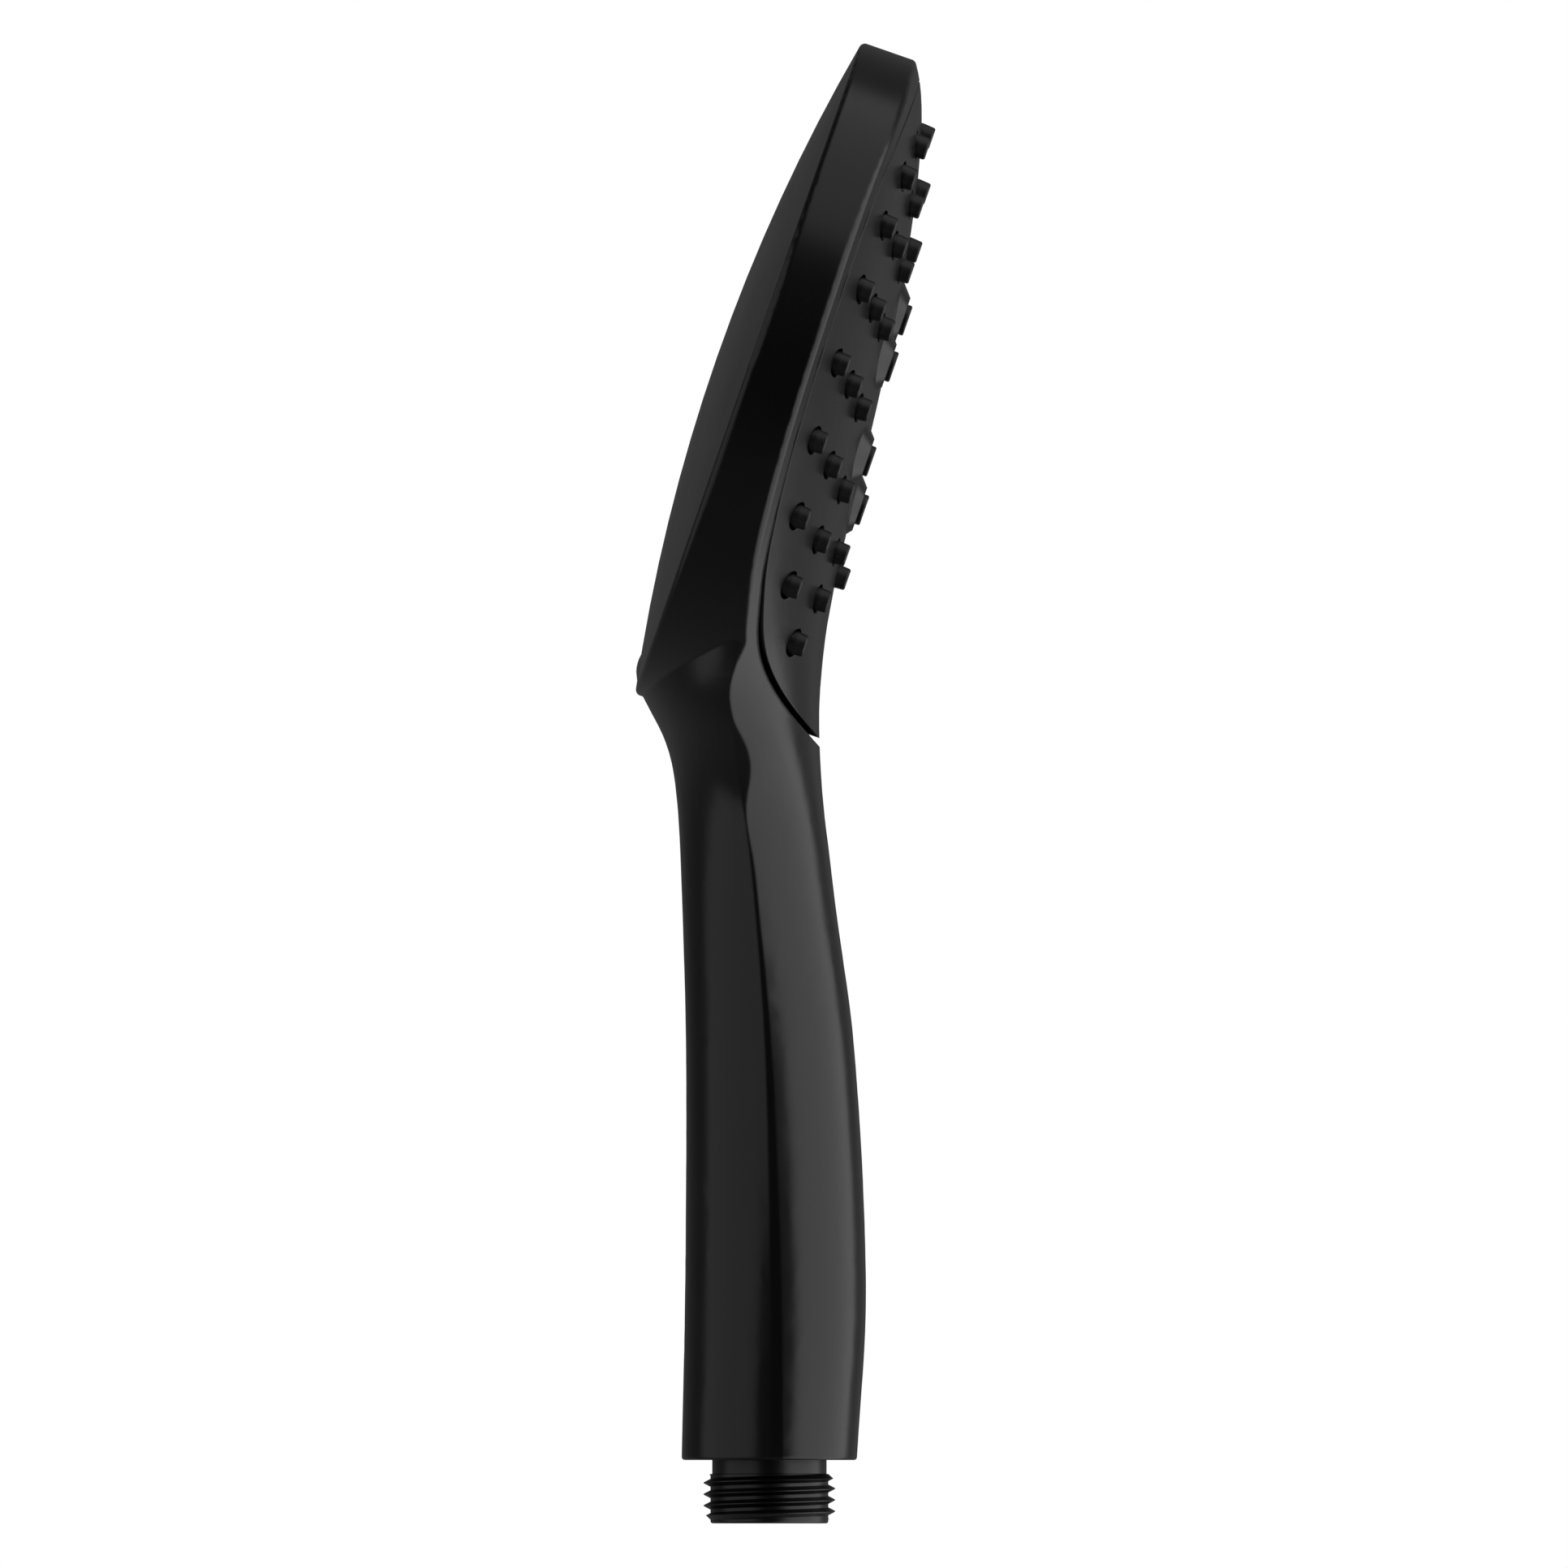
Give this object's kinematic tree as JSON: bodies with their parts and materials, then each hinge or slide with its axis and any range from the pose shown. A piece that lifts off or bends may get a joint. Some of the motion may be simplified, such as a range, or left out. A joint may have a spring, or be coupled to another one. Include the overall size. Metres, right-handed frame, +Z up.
{
  "type": "handheld shower head",
  "caption": "Black handheld shower head with a round tilted head, a spray plate that rocks to switch between rain nozzles and pulsing centre jets, and a threaded hose inlet.",
  "frame": {"origin": "middle of the inlet's end face, where the hose washer seats", "axes": "+Z up the inlet and handle, +X the side that the water leaves from, +Y across the head"},
  "size_m": [0.0478, 0.11, 0.2359],
  "materials": {
    "black_shell": "satin",
    "plate_plastic": "satin",
    "nozzle_rubber": "matte",
    "thread_plastic": "satin",
    "inner_plastic": "natural",
    "seal_rubber": "matte",
    "steel": "bright"
  },
  "bodies": {
    "handset": {"body_shell": "black_shell", "nozzle_mat": "nozzle_rubber", "massage_jets": "nozzle_rubber", "hose_connector": "thread_plastic", "spray_chassis": "inner_plastic", "chamber_cover": "inner_plastic", "turbine_cover": "inner_plastic", "valve_sleeve": "inner_plastic", "sleeve_cap": "inner_plastic", "water_tube": "inner_plastic", "flow_limiter": "inner_plastic", "inlet_strainer": "inner_plastic", "check_valve_housing": "inner_plastic", "check_valve_guide": "inner_plastic", "connector_oring": "seal_rubber", "limiter_ring": "seal_rubber", "tube_orings": "seal_rubber", "chamber_gasket": "seal_rubber", "sleeve_orings": "seal_rubber", "chamber_screws": "steel", "chassis_screws": "steel", "turbine_axle": "steel", "hinge_pin": "steel", "hinge_springs": "steel", "check_valve_spring": "steel"},
    "plate": {"spray_plate": "plate_plastic"},
    "diverter": {"diverter_spool": "inner_plastic", "spool_orings": "seal_rubber"},
    "turbine": {"turbine_wheel": "inner_plastic"},
    "check_valve": {"check_valve_poppet": "inner_plastic", "poppet_seal": "seal_rubber"}
  },
  "joints": [
    {"name": "plate_press", "type": "hinge", "parent": "handset", "child": "plate", "pos_m": [0.01836, 0, 0.22859], "axis": [0, 1, 0], "range_deg": [0, 1], "stiffness_Nm_per_rad": 12, "springref_deg": -1.15},
    {"name": "diverter_slide", "type": "slide", "parent": "handset", "child": "diverter", "axis": [-0.9444, 0, 0.3289], "range_m": [0, 0.0016]},
    {"name": "turbine_spin", "type": "hinge", "parent": "handset", "child": "turbine", "pos_m": [0.0075, 0, 0.18038], "axis": [0.9444, 0, -0.3289], "continuous": true},
    {"name": "check_valve_lift", "type": "slide", "parent": "handset", "child": "check_valve", "axis": [0, 0, 1], "range_m": [0, 0.0019], "stiffness_N_per_m": 100, "springref_m": -0.004, "deforming": ["check_valve_spring"]}
  ],
  "couplings": [
    {"joint": "diverter_slide", "follows": "plate_press", "m_per_rad": 0.0881}
  ]
}
